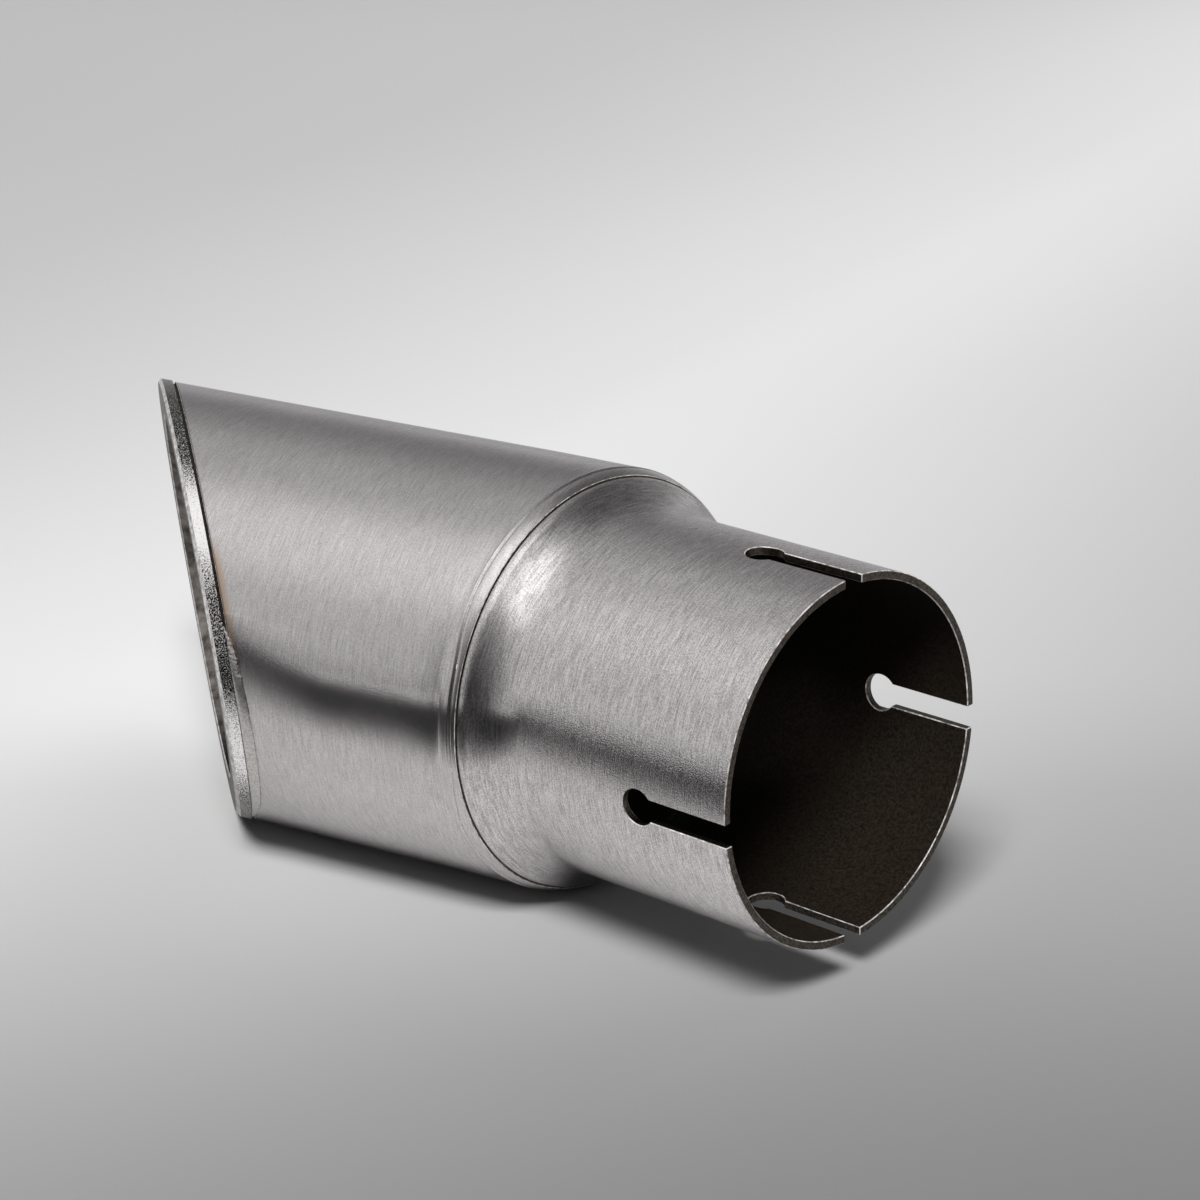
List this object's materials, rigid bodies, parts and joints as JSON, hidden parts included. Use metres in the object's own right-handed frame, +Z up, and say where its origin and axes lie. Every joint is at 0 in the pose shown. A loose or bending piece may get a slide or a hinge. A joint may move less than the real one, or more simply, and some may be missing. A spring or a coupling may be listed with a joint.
{
  "type": "exhaust tip",
  "caption": "Slash-cut round exhaust tip with a thick end ring and a bent, slotted inlet sleeve that clamps over a pipe.",
  "frame": {"origin": "centre of the inlet's mouth, on the inlet's axis", "axes": "+X along the barrel's level axis, from the slash to the inlet; +Y to the side of the slash's long edge, away from the bend; +Z up"},
  "size_m": [0.1829, 0.0833, 0.0764],
  "materials": {
    "barrel_steel": "satin, brushed round the tube",
    "inlet_steel": "satin, brushed round the tube",
    "ring_steel": "ground across the band"
  },
  "bodies": {
    "root": {"barrel": "barrel_steel", "inlet_sleeve": "inlet_steel", "end_ring": "ring_steel"}
  },
  "joints": []
}
